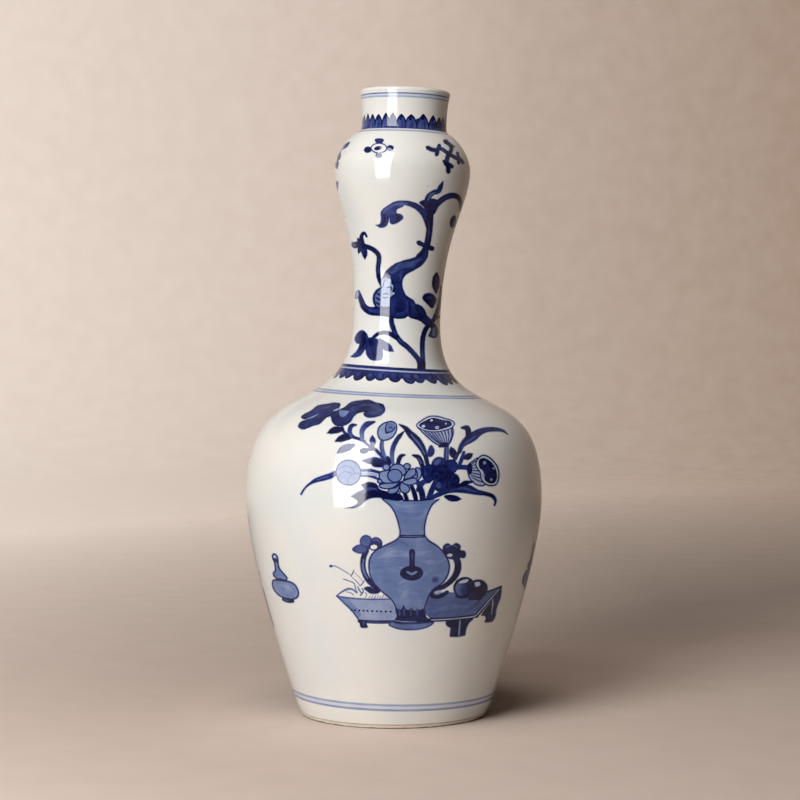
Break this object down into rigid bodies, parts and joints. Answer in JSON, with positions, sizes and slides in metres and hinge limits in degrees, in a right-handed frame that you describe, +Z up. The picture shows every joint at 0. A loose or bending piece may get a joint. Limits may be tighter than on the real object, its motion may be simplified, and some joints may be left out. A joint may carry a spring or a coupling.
{
  "type": "garlic-mouth vase",
  "caption": "Tall porcelain vase with a full shoulder, waisted neck, garlic-bulb mouth and upright collar, painted in underglaze blue, standing on a turned foot ring.",
  "frame": {"origin": "centre of the foot ring's contact face, on the surface the vase stands on", "axes": "+Z up, -Y towards the side that the picture shows, +X to the right there"},
  "size_m": [0.1892, 0.1892, 0.3991],
  "materials": {
    "glazed_porcelain": "white porcelain under a glossy clear glaze, painted in cobalt blue, bare of glaze on the foot ring",
    "slip": "fired porcelain slip in the luted joints, covered by the glaze outside"
  },
  "bodies": {
    "root": {"foot_and_base": "glazed_porcelain", "base_slip": "slip", "lower_body": "glazed_porcelain", "belly_slip": "slip", "upper_body": "glazed_porcelain", "shoulder_slip": "slip", "neck": "glazed_porcelain", "neck_slip": "slip", "garlic_bulb": "glazed_porcelain", "collar_slip": "slip", "mouth_collar": "glazed_porcelain"}
  },
  "joints": []
}
